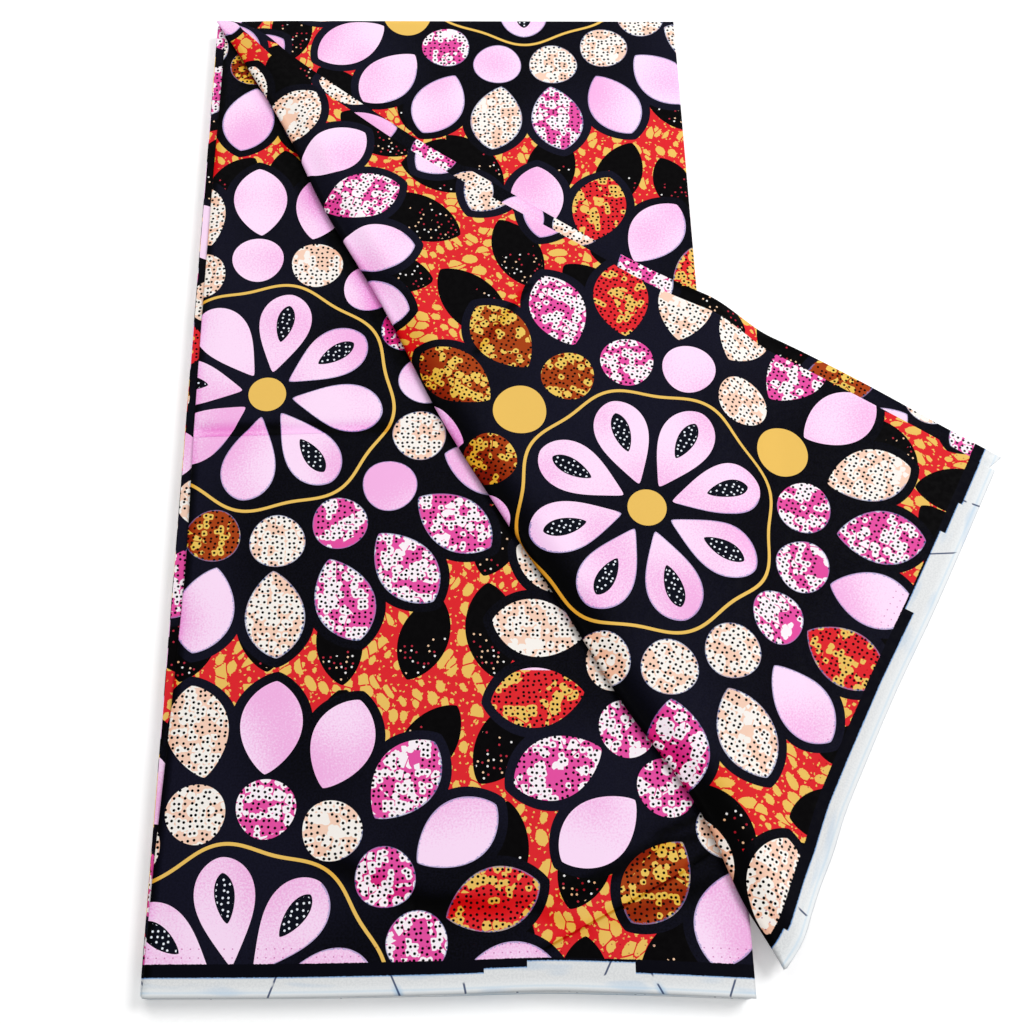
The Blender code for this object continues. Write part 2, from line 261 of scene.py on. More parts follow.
# Print, in metres of cloth
PRINT_PLACES = {  # where on the length of cloth each stretch lies
    "folded_stack": 0.62,
    "second_panel": 0.10,
    "strip_top": 1.60,
    "under_sheet": 2.30,
    "over_sheet": 2.9047,
}
LOWER_LAYER_SHIFT = 0.70
STACK_LAYER_SHIFT = 0.131
UNDERSIDE_PLACE = 0.40
THREAD = 0.00042
ROSETTE_COLUMN = 0.275
ROSETTE_ROW = 0.318
Ring = namedtuple("Ring", "middle petals half_length half_width point first_fill last_fill")
RINGS = (
    Ring(0.0400, 8, 0.0255, 0.0132, 1.7, 0.05, 0.15),
    Ring(0.0885, 16, 0.0148, 0.0148, 2.0, 0.30, 1.00),
    Ring(0.1295, 22, 0.0240, 0.0156, 1.3, 0.06, 1.00),
)
RING_TWIST = 5.0
HALO = 0.0050
HEART = 0.0105
SCALLOP_RADIUS = 0.0695
SCALLOP_WAVE = 0.0022
SCALLOP_HALF_WIDTH = 0.0009
EYE_OUT = 0.0060  # out from the petal's middle
EYE = (0.0120, 0.0042, 1.5)  # half length, half width, point
LEAF = (0.0270, 0.0145, 1.35)
LEAF_CELLS = 17.5
LEAF_STRETCH = (1.45, 1.0, 1.0)
LEAF_LEAN = 0.65
BUBBLE_CELLS = 150.0
BUBBLE_STRETCH = (1.0, 0.72, 1.0)
BUBBLE_SWAY = 0.0022
BUBBLE_SWAYS = (170.0, 130.0, 0.0)
SMALL_BUBBLE_CELLS = 260.0
BLOTCH_CELLS = 165.0
CRACK = 0.045  # between bubbles, as a share of a cell
DOT_SPACING = 0.0030
DOT_SIZE = 0.235  # radius of a black dot and of a pale one, as a share of the spacing
PALE_DOT_SIZE = 0.19
EDGE_GRAIN = 0.16  # how much the grain roughens a printed edge

# Selvedge, in from its edge
SELVEDGE = 0.0092
BORDER = 0.0060
BORDER_ROUGH = 0.0006
NOTCH_DEPTH = 0.0048  # the white steps this far into the border
HALF_NOTCH = 0.6  # and this share less where a step starts
NOTCH_SPACING = 0.256
NOTCH_SHARE = 0.28
HALF_NOTCH_SHARE = 0.08
NOTCH_START = 0.1171
PIN_SPACING = 0.0040
PIN_ROWS_MIDDLE = 0.0200
PIN_ROWS_APART = 0.0020  # each row from their middle
PIN_HALF_LENGTH = 0.08  # as a share of the spacing
PIN_HALF_WIDTH = 0.00028
TICK_SPACING = 0.031
TICK_SLANT = 90.0
FAINT_LINE = 0.0024

# Colours
NAVY = "#030306"
# lighter navy, for the grain and for painted sheen in wide patches
GRAIN_AND_SHEEN_NAVY = "#141424"
BORDER_COLOUR = "#070710"
BLACK = "#030203"
YELLOW = "#E8BD5F"
RED = "#DB272E"
FRINGE = "#7480B4"
EYE_NAVY = "#0B0E1A"
EYE_DOT = "#E9EEF6"
INNER_WHITE = "#DCDEDF"
OUTER_WHITE = "#E9EDEF"
THREAD_WHITE = "#F3F4F4"
SMEAR_BLUE = "#8DB9DF"
LINE_BLUE = "#A9CDE6"
STEP_BLUE = "#5C92CB"
TICK_BLUE = "#1E3560"
RAW_EDGE = "#A4ACB4"
PIN_TINT = (0.62, 0.30, 0.50, 1.0)
Fill = namedtuple("Fill", "limit ground blotch rare")
FILLS = (
    # up to, ground, blotch, how rare the blotches are
    Fill(0.38, "#F2B0E2", "#FBDCF7", 1.00),
    Fill(0.40, YELLOW, YELLOW, 1.00),
    Fill(0.67, "#F3CDB7", "#F6F0EA", 0.49),
    Fill(0.88, "#E24F9F", "#F9EFF5", 0.53),
    Fill(0.93, RED, YELLOW, 0.60),
    Fill(1.00, "#A34015", "#E8C25C", 0.59),
)
PLAIN_FILLS = 0.40  # fills under this have no dots
LEAF_DOTS = (
    # up to, colour of a leaf's dot
    (0.45, "#B02A3C"),
    (0.80, "#EBC3A0"),
    (1.00, "#E9E6E4"),
)

# Stage, and the camera as fitted to the strip's four corners in the photo
FLOOR_HALF = 3.0
FLOOR_WHITE = (0.98, 0.98, 0.98, 1.0)
PURE_WHITE = (1.0, 1.0, 1.0, 1.0)
FLOOR_GLOW = 0.21
WORLD_STRENGTH = 0.40
LIGHTS = (
    # name, place, size, power
    ("key", (1.10, 0.50, 1.70), 1.1, 25.5),
    ("back", (-0.50, 1.35, 1.50), 1.6, 14.5),
)
CAMERA_PLACE = (STRIP_X - 0.00652, -0.32259, STACK_TOP + 0.66923)
CAMERA_TURN = (22.587, -0.183, -0.008)  # degrees
CAMERA_LENS = 47.11  # millimetres, as the sensor's width is
CAMERA_SENSOR = 36.0
CAMERA_SHIFT = 0.0719


def smooth(x):
    """A smooth step from 0, at 0 and below, to 1, at 1 and above."""
    x = np.clip(x, 0.0, 1.0)
    return x * x * (3 - 2 * x)


def between(span, share):
    """The value at a share of the way through a span."""
    return span[0] + (span[1] - span[0]) * share


def through(table, column, keys):
    """A smooth curve through a table's column, read at keys."""
    rows = np.array(table, float)
    x, y = rows[:, 0], rows[:, column]
    slope = np.gradient(y, x)
    keys = np.clip(np.asarray(keys, float), x[0], x[-1])
    i = np.clip(np.searchsorted(x, keys, side="right") - 1, 0, len(x) - 2)
    run = x[i + 1] - x[i]
    t = (keys - x[i]) / run
    start = (1 + 2 * t) * (1 - t) ** 2 * y[i] + t * (1 - t) ** 2 * run * slope[i]
    end = t * t * (3 - 2 * t) * y[i + 1] + t * t * (t - 1) * run * slope[i + 1]
    return start + end


def stations(stops, step):
    """Places from the first stop to the last, through every stop, no more than a step apart."""
    places = [stops[0]]
    for start, end in zip(stops, stops[1:]):
        count = max(1, math.ceil(abs(end - start) / step - 1e-6))
        places += [start + (end - start) * i / count for i in range(1, count + 1)]
    return np.array(places)


def rows_of(*columns):
    """A table of rows from one array for each column, all of one shape."""
    return np.stack(columns, -1).reshape(-1, len(columns))


def grid_quads(rows, columns):
    """Corner numbers of a grid's quads."""
    i = np.arange(rows - 1)[:, None] * columns + np.arange(columns - 1)[None, :]
    return rows_of(i, i + 1, i + columns + 1, i + columns)


def from_fold(along, out):
    """Place on the strip of a point along the diagonal fold and out from it."""
    x = -HALF_WIDTH + ALONG_FOLD[0] * along + OUT_FROM_FOLD[0] * out
    y = HALF_LENGTH + ALONG_FOLD[1] * along + OUT_FROM_FOLD[1] * out
    return x, y


def to_fold(x, y):
    """How far along the diagonal fold and out from it a place on the strip lies."""
    dx, dy = x + HALF_WIDTH, y - HALF_LENGTH
    along = dx * ALONG_FOLD[0] + dy * ALONG_FOLD[1]
    return along, dx * OUT_FROM_FOLD[0] + dy * OUT_FROM_FOLD[1]


def front_shift(x, y):
    """How far the front edge's bow moves each place in."""
    return through(FRONT_INSET, 1, x) * smooth((FRONT_REACH - HALF_LENGTH - y) / FRONT_REACH)


def edge_dip(x, y, depth):
    """How far a layer dips near the strip's right and far edges."""
    edge = np.minimum(HALF_WIDTH - x, HALF_LENGTH - y)
    return depth * smooth(1 - edge / DIP_REACH)


def swell(waves, x, y):
    """A low uneven swell of the cloth: two waves that cross, multiplied."""
    height, *crossed = waves
    for wave in crossed:
        height = height * np.sin(wave.across * x + wave.along * y + wave.start)
    return height


def creased(table, x, y):
    """Height, and tint of painted shade, that a table of creases gives at each place."""
    height, tint = np.zeros(np.shape(x)), np.zeros(np.shape(x))
    for x0, y0, x1, y1, rise, half, painted_shade in table:
        length = math.hypot(x1 - x0, y1 - y0)
        ux, uy = (x1 - x0) / length, (y1 - y0) / length
        run = (x - x0) * ux + (y - y0) * uy
        off = (y - y0) * ux - (x - x0) * uy
        past = np.maximum(0, np.maximum(-run, run - length)) / (CREASE_FADE * half)
        profile = np.exp(-(off / half) ** 2 - past ** 2)
        height = height + rise * profile
        tint = np.maximum(tint, painted_shade * profile)
    return height, tint


def cloth_piece(node, points, faces, places, tint, collection, material, wall=CLOTH):
    """The piece that stands for a node, with cloth coordinates for each corner of each face and
    a tint of painted shade for each point. It is an open surface with a wall, or closed if it has none."""
    name = node + "_cloth"
    mesh = bpy.data.meshes.new(name)
    mesh.from_pydata(points.tolist(), [], faces)
    layer = mesh.uv_layers.new(name="cloth")
    layer.data.foreach_set("uv", places.astype(np.float32).ravel())
    # the "crease" attribute holds painted shade: how much the print darkens in creases and beside the
    # folds
    attribute = mesh.attributes.new("crease", "FLOAT", "POINT")
    attribute.data.foreach_set("value", tint.astype(np.float32))
    mesh.validate()
    mesh.shade_smooth()
    mesh.set_sharp_from_angle(angle=SHARP_ANGLE)
    mesh.materials.append(material)
    piece = bpy.data.objects.new(name, mesh)
    piece.location = (STRIP_X, 0.0, 0.0)
    collection.objects.link(piece)
    if wall:
        solidify = piece.modifiers.new("Wall", "SOLIDIFY")
        solidify.thickness = wall
        solidify.offset = 0.0
    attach(piece, "root")
    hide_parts(node)
    return piece


def panel_relief(x, y):
    """Height of the loose second panel over the stack, and the tint of painted shade in its creases and
    of painted shadow beside the fold.
    """
    along, out = to_fold(x, y)
    away = through(FOLD_COURSE, 1, along) - PUFF_MARGIN - out
    puff = PANEL_PUFF * smooth(away / PUFF_RAMP)
    rim = smooth((x + HALF_WIDTH) / PUFF_RIM) * smooth((HALF_LENGTH - abs(y)) / PUFF_RIM)
    height, tint = creased(PANEL_CREASES, x, y)
    shaded = np.clip(through(FOLD_COURSE, 4, along), 0, 1)
    # painted shadow on the panel beside the diagonal fold
    tint = np.maximum(tint, shaded * smooth(1 - (away + PUFF_MARGIN) / PANEL_SHADE))
    return (puff + swell(PANEL_SWELL, x, y)) * rim + height * smooth(away / PANEL_CREASE_RAMP), tint


def panel_upper_layer():
    """The second panel's upper layer, folded round at the left side and tucked under: its points,
    quads, cloth coordinates and tint of painted shade."""
    rows = stations(PANEL_ROW_STOPS, FINE)
    half_turn = math.pi * SIDE_RADIUS
    fold = -half_turn * np.arange(SIDE_FOLD_STEPS, 0, -1) / SIDE_FOLD_STEPS
    run = np.concatenate([[-TUCK - half_turn], fold, stations(PANEL_RUN_STOPS, FINE)])
    y, s = np.meshgrid(rows, run, indexing="ij")
    start = -HALF_WIDTH + through(LEFT_INSET, 1, y) + SIDE_RADIUS
    angle = np.clip(-s / SIDE_RADIUS, 0, math.pi)
    level = start + s * (HALF_WIDTH - start) / STRIP_WIDTH
    turned = start - SIDE_RADIUS * np.sin(angle)
    tucked = start - s - half_turn
    x = np.select([s >= 0, s >= -half_turn], [level, turned], tucked)
    height, tint = panel_relief(x, y)
    lift = np.where(s >= 0, height - edge_dip(x, y, PANEL_DIP), 0)
    z = PANEL_MIDDLE + SIDE_RADIUS * np.cos(angle) + lift
    # painted shade along the panel's rounded left fold
    tint = np.maximum(tint, SIDE_SHADE * smooth(1 - (s + SIDE_RADIUS) / SIDE_SHADE_REACH))
    points = rows_of(x, y + front_shift(x, y), z)
    cloth = rows_of(np.where(s >= 0, x, start + s), y)
    return points, grid_quads(len(rows), len(run)), cloth, tint.ravel()


def panel_lower_layer():
    """The second panel's lower layer, which starts where the tuck ends: its points, quads, cloth
    coordinates and tint of painted shade."""
    left, right, front, back = LOWER_LAYER_INSETS
    rows = stations([-HALF_LENGTH + front, HALF_LENGTH - back], COARSE)
    run = stations([-HALF_WIDTH + left, HALF_WIDTH - right], COARSE)
    y, x = np.meshgrid(rows, run, indexing="ij")
    rise = np.maximum(0, panel_relief(x, y)[0] - LOWER_LAYER_CALM)
    z = PANEL_MIDDLE + SIDE_RADIUS - CLOTH - LEAST_GAP + rise
    points = rows_of(x, y + front_shift(x, y), z)
    cloth = rows_of(x + LOWER_LAYER_SHIFT, y)
    return points, grid_quads(len(rows), len(run)), cloth, np.zeros(len(points))


def second_panel(collection, material):
    """The loose panel with its two layers."""
    upper, upper_quads, upper_cloth, upper_tint = panel_upper_layer()
    lower, lower_quads, lower_cloth, lower_tint = panel_lower_layer()
    points, tint = np.concatenate([upper, lower]), np.concatenate([upper_tint, lower_tint])
    quads = np.concatenate([upper_quads, lower_quads + len(upper)])
    cloth = np.concatenate([upper_cloth, lower_cloth]) + (PRINT_PLACES["second_panel"], HALF_LENGTH)
    piece = cloth_piece("second_panel", points, quads.tolist(), cloth[quads], tint, collection, material)


def flap_cloth(along, out):
    """Cloth coordinates on the turned flap: along its selvedge, and in from it."""
    da, do = along - OVER_CORNER[0], out - OVER_CORNER[1]
    u = da * SELVEDGE_RUN[0] + do * SELVEDGE_RUN[1]
    v = da * SELVEDGE_RUN[1] - do * SELVEDGE_RUN[0]
    return u, v


def selvedge_sag(u):
    """How far the flap's real selvedge lies in from a straight one."""
    edge = np.array(FLAP_SELVEDGE)
    edge_u, edge_v = flap_cloth(edge[:, 0], edge[:, 1])
    return np.interp(u, edge_u, edge_v, left=0.0, right=edge_v[-1])


def fullness(along):
    """How full the fold's roll is: 1 all along, less near both ends of the fold."""
    ends = (along + PINCH) / PINCH_REACH[0], (FOLD_LENGTH + PINCH - along) / PINCH_REACH[1]
    return float(np.clip(min(ends), LEAST_ROLL, 1.0))


def roll_centre(along):
    """How far out from the fold's straight line the middle of its roll lies."""
    return float(through(FOLD_COURSE, 1, along)) + fullness(along) * (SHEET_WALL / 2 + ROLL_REACH)


def sheet_height(along, order, x, out):
    """Height of a run of a turned sheet at one section. The runs' order from the bottom is over
    lower 0, under lower 1, under turned 2 and over turned 3."""
    from_roll = out - roll_centre(along)
    pressed = between((FOLD_PRESS, 1), smooth(from_roll / PRESS_REACH))
    fall = (UNDER_TOP - FLOOR_LEVEL) * smooth((x - HALF_WIDTH - FALL_START) / FALL_WIDTH)
    rise = order * pressed * SHEET_PITCH - fall
    if order >= 2:
        puff = float(through(FOLD_COURSE, 2, along))
        rise = rise + puff * np.exp(-((from_roll - PUFF_CREST) / PUFF_SPREAD) ** 2)
    if along <= FOLD_LENGTH / 2:
        rise = rise * between((CORNER_PRESS, 1), fullness(along))
    return LOWEST_SHEET + rise


def lower_run(along, layer, count):
    """A section's lower run, from its end to the roll: places out from the fold, and heights."""
    centre = roll_centre(along)
    to_back = along / math.tan(FOLD_ANGLE)
    to_side = (STRIP_WIDTH - ALONG_FOLD[0] * along) / OUT_FROM_FOLD[0]
    end = max(min(to_back, to_side), centre + fullness(along) * SHORTEST_RUN)
    out = np.linspace(end, centre, count)
    out[1:4] = end - np.array(RIM_POINTS) * min(1, (end - centre) / RIM_RUN)
    x, y = from_fold(along, out)
    return out, sheet_height(along, 1 - layer, x, out) - edge_dip(x, y, SHEET_DIP)


def fold_roll(along, layer):
    """A section's roll, from the lower run to the turned one: places out from the fold, heights,
    angles, and lengths of cloth, of which the last is the whole roll's."""
    centre = roll_centre(along)
    x, _ = from_fold(along, centre)
    low = sheet_height(along, 1 - layer, x, centre)
    high = sheet_height(along, 2 + layer, x, centre)
    angle = np.pi * np.arange(1, ROLL_STEPS) / ROLL_STEPS
    reach = fullness(along) * (ROLL_REACH - (1 - layer) * SHEET_PITCH)
    out = centre - reach * np.sin(angle)
    height = (low + high) / 2 - (high - low) / 2 * np.cos(angle)
    lengths = np.hypot(np.diff(np.r_[centre, out, centre]), np.diff(np.r_[low, height, high]))
    return out, height, angle, np.cumsum(lengths)


def flap_edges(along, layer):
    """How far out from the fold the last points of a section lie."""
    if along <= OVER_CORNER[0]:
        end = float(through(FLAP_TOP_EDGE, 2, along))
    else:
        end = float(through(FLAP_SELVEDGE, 1, along))
    end = max(end, roll_centre(along) + fullness(along) * SHORTEST_RUN)
    rim = fullness(along) * FLAP_RIM
    if layer == OVER:
        return [end - rim, end]
    beyond = float(through(FLAP_TOP_EDGE, 1, along)) if along <= UNDER_CORNER[0] else 0.0
    return [end - rim, end - rim / 2 + beyond / 2, end - rim / 2 + beyond]


def turned_run(along, layer, count):
    """A section's turned run, from the roll to the flap's edge: places out from the fold,
    heights, and the tint of painted shade in its creases."""
    centre = roll_centre(along)
    edges = flap_edges(along, layer)
    share = np.linspace(0, 1, count)[:-1] ** TURNED_CROWDING
    out = np.concatenate([between((centre, edges[0]), share), edges])
    x, y = from_fold(along, out)
    relief, tint = creased(FLAP_CREASES, x, y)
    relief = relief + swell(FLAP_SWELL, x, y) * smooth((x - x[0]) / FLAP_SWELL_RAMP)
    relief = relief * smooth((out - centre) / FLAP_CREASE_RAMP)
    lowest = FLOOR_LEVEL + layer * SHEET_PITCH - TABLE_SLACK
    return out, np.maximum(sheet_height(along, 2 + layer, x, out) + relief, lowest), tint


def fold_section(along, layer):
    """One section of a turned sheet: its points, cloth coordinates and tint of painted shade."""
    lower_count, turned_count = RUN_POINTS[layer]
    centre = roll_centre(along)
    lower, lower_height = lower_run(along, layer, lower_count)
    roll, roll_height, angle, length = fold_roll(along, layer)
    turned, turned_height, crease_shade = turned_run(along, layer, turned_count)
    x, y = from_fold(along, np.concatenate([lower, roll, turned]))
    points = rows_of(x, y, np.concatenate([lower_height, roll_height, turned_height]))
    roll_start = centre - length[-1]
    cloth_out = np.concatenate([roll_start + centre - lower, roll_start + length[:-1], turned])
    u, v = flap_cloth(along, cloth_out)
    v = v - selvedge_sag(u) * smooth(1 - v / SAG_REACH)
    # painted shade on the roll, where it turns from the light, and in a band on the flap beside it
    shaded = float(through(FOLD_COURSE, 3, along))
    roll_shade = between(ROLL_SHADE, shaded) * np.sin(np.clip(angle, *ROLL_SHADE_TURN)) ** ROLL_SHADE_FALL
    band_shade = between(BAND_SHADE, shaded) * np.exp(-((turned - centre) / BAND_REACH) ** BAND_FALL)
    tint = np.concatenate([np.zeros(len(lower)), roll_shade, np.maximum(band_shade, crease_shade)])
    return points, rows_of(u, v), tint


def turned_sheet(node, layer, collection, material):
    """One layer of the turned panel, from its hidden or shown lower run round to the flap."""
    stops = [FOLD_START, CORNER_SECTION, UNDER_CORNER[0], OVER_CORNER[0], SIDE_SECTION, FOLD_LENGTH]
    sections = [fold_section(along, layer) for along in stations(stops, FINE)]
    columns = len(sections[0][0])
    points, flap, tint = (np.concatenate(part) for part in zip(*sections))
    quads = grid_quads(len(sections), columns)
    places = flap[quads] + (PRINT_PLACES[node], 0.0)
    if layer == UNDER:
        strip = points[quads, :2] + (PRINT_PLACES["strip_top"], HALF_LENGTH)
        lower = (quads % columns).max(1) < RUN_POINTS[layer][0]
        places = np.where(lower[:, None, None], strip, places)
    return cloth_piece(node, points, quads.tolist(), places, tint, collection, material)


def bulge(share):
    """Inset of a round edge: none at half its height, and 1 at its bottom and top."""
    return 1 - math.sqrt(max(0.0, 1 - (2 * share - 1) ** 2))


def stack_insets(layer, part, wander):
    """How far in each side of the stack lies at a part of a layer's height."""
    insets = []
    for number, side in enumerate(STACK_SIDES):
        first = layer - layer % side.layers
        share = (layer - first + part) / side.layers
        inset = side.round * bulge(share) + side.wander * wander[first][number]
        insets.append(inset + side.groove * bulge(part))
    return insets


def stack_ring(insets, height):
    """One ring of the stack's outline, with rounded corners."""
    left, right, back, front = insets
    west, east = -HALF_WIDTH + left, HALF_WIDTH - right
    south, north = -HALF_LENGTH + front, HALF_LENGTH - back
    r = CORNER_RADIUS
    long_side, short_side = north - south - 2 * r, east - west - 2 * r
    corners = (
        # middle, first angle, and the side that follows: its steps, direction and length
        (east - r, south + r, -90, LONG_SIDE_STEPS, (0, 1), long_side),
        (east - r, north - r, 0, SHORT_SIDE_STEPS, (-1, 0), short_side),
        (west + r, north - r, 90, LONG_SIDE_STEPS, (0, -1), long_side),
        (west + r, south + r, 180, SHORT_SIDE_STEPS, (1, 0), short_side),
    )
    ring = []
    for cx, cy, first, steps, (dx, dy), length in corners:
        for i in range(CORNER_STEPS + 1):
            angle = math.radians(first + 90 * i / CORNER_STEPS)
            ring.append((cx + r * math.cos(angle), cy + r * math.sin(angle), height))
        x, y, _ = ring[-1]
        for i in range(1, steps):
            ring.append((x + dx * length * i / steps, y + dy * length * i / steps, height))
    return np.array(ring)


def folded_stack(collection, material):
    """The hidden panels, their sides showing every layer's fold or selvedge."""
    pitch = STACK_TOP / STACK_LAYERS
    random = np.random.default_rng(STACK_SEED)
    wander = random.uniform(0.0, 1.0, (STACK_LAYERS, 4))
    rings, layers = [], []
    for layer in range(STACK_LAYERS):
        bow = between(STACK_BOW, layer / STACK_LAYERS)
        for part in LAYER_PARTS:
            ring = stack_ring(stack_insets(layer, part, wander), (layer + part) * pitch)
            ring[:, 1] += bow * front_shift(ring[:, 0], ring[:, 1])
            rings.append(ring)
            layers.append(layer)
    count = len(rings[0])
    points = np.concatenate(rings)
    low = np.arange(len(points) - count).reshape(-1, count)
    beside = np.roll(low, -1, axis=1)
    quads = rows_of(low, beside, beside + count, low + count)
    bottom, top = np.arange(count)[::-1], np.arange(len(points))[-count:]
    corners = np.concatenate([quads.ravel(), bottom, top])
    shift = np.concatenate([
        STACK_LAYER_SHIFT * np.repeat(layers[:-1], 4 * count),
        np.full(count, UNDERSIDE_PLACE),
        np.full(count, PRINT_PLACES["folded_stack"]),
    ])
    places = points[corners, :2] + rows_of(shift, np.full_like(shift, HALF_LENGTH))
    faces = quads.tolist() + [bottom.tolist(), top.tolist()]
    tint = np.zeros(len(points))
    piece = cloth_piece("folded_stack", points, faces, places, tint, collection, material, wall=None)


def colour(code):
    """Linear colour from a hex code."""
    parts = [int(code[i:i + 2], 16) / 255 for i in (1, 3, 5)]
    linear = [p / 12.92 if p <= 0.04045 else ((p + 0.055) / 1.055) ** 2.4 for p in parts]
    return (*linear, 1.0)


class Graph:
    """Writes shader nodes: each call adds one or a few and returns what they give."""

    def __init__(self, tree):
        self.tree = tree

    def node(self, kind, inputs=None, **settings):
        node = self.tree.nodes.new("ShaderNode" + kind)
        for key, value in settings.items():
            setattr(node, key, value)
        for key, value in (inputs or {}).items():
            self.put(node.inputs[key], value)
        return node

    def put(self, socket, value):
        if isinstance(value, bpy.types.NodeSocket):
            self.tree.links.new(value, socket)
        else:
            socket.default_value = value

    def calc(self, operation, *values):
        return self.node("Math", dict(enumerate(values)), operation=operation).outputs[0]

    def times(self, value, factor, more=0.0):
        """A number times a factor, with more added."""
        return self.calc("MULTIPLY_ADD", value, factor, more)

    def both(self, first, *others):
        """The product of numbers: 1 where all of them are."""
        for other in others:
            first = self.calc("MULTIPLY", first, other)
        return first

    def under(self, value, limit):
        return self.calc("LESS_THAN", value, limit)

    def over(self, value, limit):
        return self.calc("GREATER_THAN", value, limit)

    def away(self, value, place):
        """How far a number is from another."""
        return self.calc("ABSOLUTE", self.calc("SUBTRACT", value, place))

    def vector(self, operation, *values):
        node = self.node("VectorMath", dict(enumerate(values)), operation=operation)
        return node.outputs["Value" if operation in ("LENGTH", "DOT_PRODUCT", "DISTANCE") else "Vector"]

    def split(self, value, kind="XYZ"):
        return tuple(self.node("Separate" + kind, {0: value}).outputs)

    def mix(self, share, low, high, kind="RGBA", **settings):
        """Of two colours or vectors, the low one where share is 0 and the high one where it is 1."""
        first, second, result = {"FLOAT": (2, 3, 0), "VECTOR": (4, 5, 1), "RGBA": (6, 7, 2)}[kind]
        inputs = {0: share, first: low, second: high}
        return self.node("Mix", inputs, data_type=kind, **settings).outputs[result]

    def choose(self, share, low, high):
        """The same of two numbers."""
        return self.mix(share, low, high, "FLOAT", clamp_factor=False)

    def ramp(self, value, low, high, start=0.0, end=1.0):
        """A smooth step from start, where the value is low, to end, where it is high."""
        inputs = {0: value, 1: low, 2: high, 3: start, 4: end}
        return self.node("MapRange", inputs, interpolation_type="SMOOTHSTEP").outputs[0]

    def noise(self, place, scale, detail=2.0, rough=0.5):
        inputs = {"Vector": place, "Scale": scale, "Detail": detail, "Roughness": rough}
        return self.node("TexNoise", inputs, noise_dimensions="2D").outputs["Fac"]

    def luck(self, seed, dimensions="2D"):
        """A random number from 0 to 1 for each seed."""
        inputs = {"W" if dimensions == "1D" else "Vector": seed}
        return self.node("TexWhiteNoise", inputs, noise_dimensions=dimensions).outputs["Value"]

    def cells(self, place, scale, feature="F1", randomness=1.0):
        inputs = {"Vector": place, "Scale": scale, "Randomness": randomness}
        return self.node("TexVoronoi", inputs, voronoi_dimensions="2D", feature=feature).outputs

    def table(self, value, rows):
        """A colour from (limit, colour) rows: the first row whose limit the value is under."""
        node = self.node("ValToRGB", {0: value})
        node.color_ramp.interpolation = "CONSTANT"
        stops = node.color_ramp.elements
        stops.remove(stops[1])
        stops[0].position = 0.0
        stops[0].color = rows[0][1]
        for (limit, _), (_, code) in zip(rows, rows[1:]):
            stops.new(limit).color = code
        return node.outputs[0]


def rosette_place(g, cloth):
    """Place within the nearest rosette of a half-drop lattice, and a random number for it."""
    half = (ROSETTE_COLUMN, ROSETTE_ROW / 2, 1.0)
    lowest = tuple(-size for size in half)
    dropped = g.vector("ADD", cloth, (ROSETTE_COLUMN, ROSETTE_ROW / 2, 0.0))
    first = g.vector("WRAP", cloth, half, lowest)
    second = g.vector("WRAP", dropped, half, lowest)
    nearer = g.under(g.vector("LENGTH", second), g.vector("LENGTH", first))
    local = g.mix(nearer, first, second, "VECTOR")
    centre = g.vector("DIVIDE", g.vector("SUBTRACT", cloth, local), half)
    return local, g.luck(g.vector("FLOOR", g.vector("ADD", centre, (0.5, 0.5, 0.5))))


def petal_shape(g, across, along, half_length, half_width, point):
    """Under 1 inside a petal: a pointed leaf where point is 1, an oval where it is 2."""
    wide = g.calc("POWER", g.calc("DIVIDE", across, half_width), point)
    long = g.calc("POWER", g.calc("ABSOLUTE", g.calc("DIVIDE", along, half_length)), 2.0)
    return g.calc("ADD", wide, long)


# A place seen from its nearest petal in one ring; step counts petals round the ring
Petal = namedtuple("Petal", "shape across along step luck")


def petal_ring(g, radius, turn, chance, number):
    """One ring of petals, each narrower towards the middle of its rosette."""
    ring = RINGS[number]
    step = g.times(turn, float(ring.petals), g.times(chance, RING_TWIST, 0.5 * number))
    off = g.away(g.calc("FRACT", step), 0.5)
    across = g.calc("MULTIPLY", off, 2 * math.pi * ring.middle / ring.petals)
    along = g.calc("SUBTRACT", radius, ring.middle)
    shape = petal_shape(g, across, along, ring.half_length, ring.half_width, ring.point)
    seed = g.node("CombineXYZ", {0: g.calc("FLOOR", step), 1: chance, 2: float(number)})
    return Petal(shape, across, along, step, g.luck(seed.outputs[0], "3D"))


def bubbles(g, place, scale, grain, smallest, largest):
    """Rough round spots of a random size, with thin cracks between the large ones. The sizes are
    shares of a cell."""
    cell = g.cells(place, scale)
    size = g.choose(g.split(cell["Color"], "Color")[0], smallest, largest)
    rough = g.times(grain, EDGE_GRAIN, -EDGE_GRAIN / 2)
    spot = g.under(g.calc("ADD", cell["Distance"], rough), size)
    edge = g.cells(place, scale, "DISTANCE_TO_EDGE")["Distance"]
    return g.both(spot, g.over(edge, CRACK))


def crackle(g, cloth, grain):
    """Red ground with crackled yellow bubbles."""
    crossed = g.vector("CROSS_PRODUCT", cloth, (0.0, 0.0, 1.0))
    sway = g.vector("SINE", g.vector("MULTIPLY", crossed, BUBBLE_SWAYS))
    stretched = g.vector("MULTIPLY", cloth, BUBBLE_STRETCH)
    place = g.vector("MULTIPLY_ADD", sway, (BUBBLE_SWAY, BUBBLE_SWAY, 0.0), stretched)
    large = bubbles(g, place, BUBBLE_CELLS, grain, smallest=0.12, largest=0.52)
    ragged_size = g.times(grain, 0.5, -0.13)
    small = g.under(g.cells(cloth, SMALL_BUBBLE_CELLS)["Distance"], ragged_size)
    return g.mix(g.calc("MAXIMUM", large, small), colour(RED), colour(YELLOW))


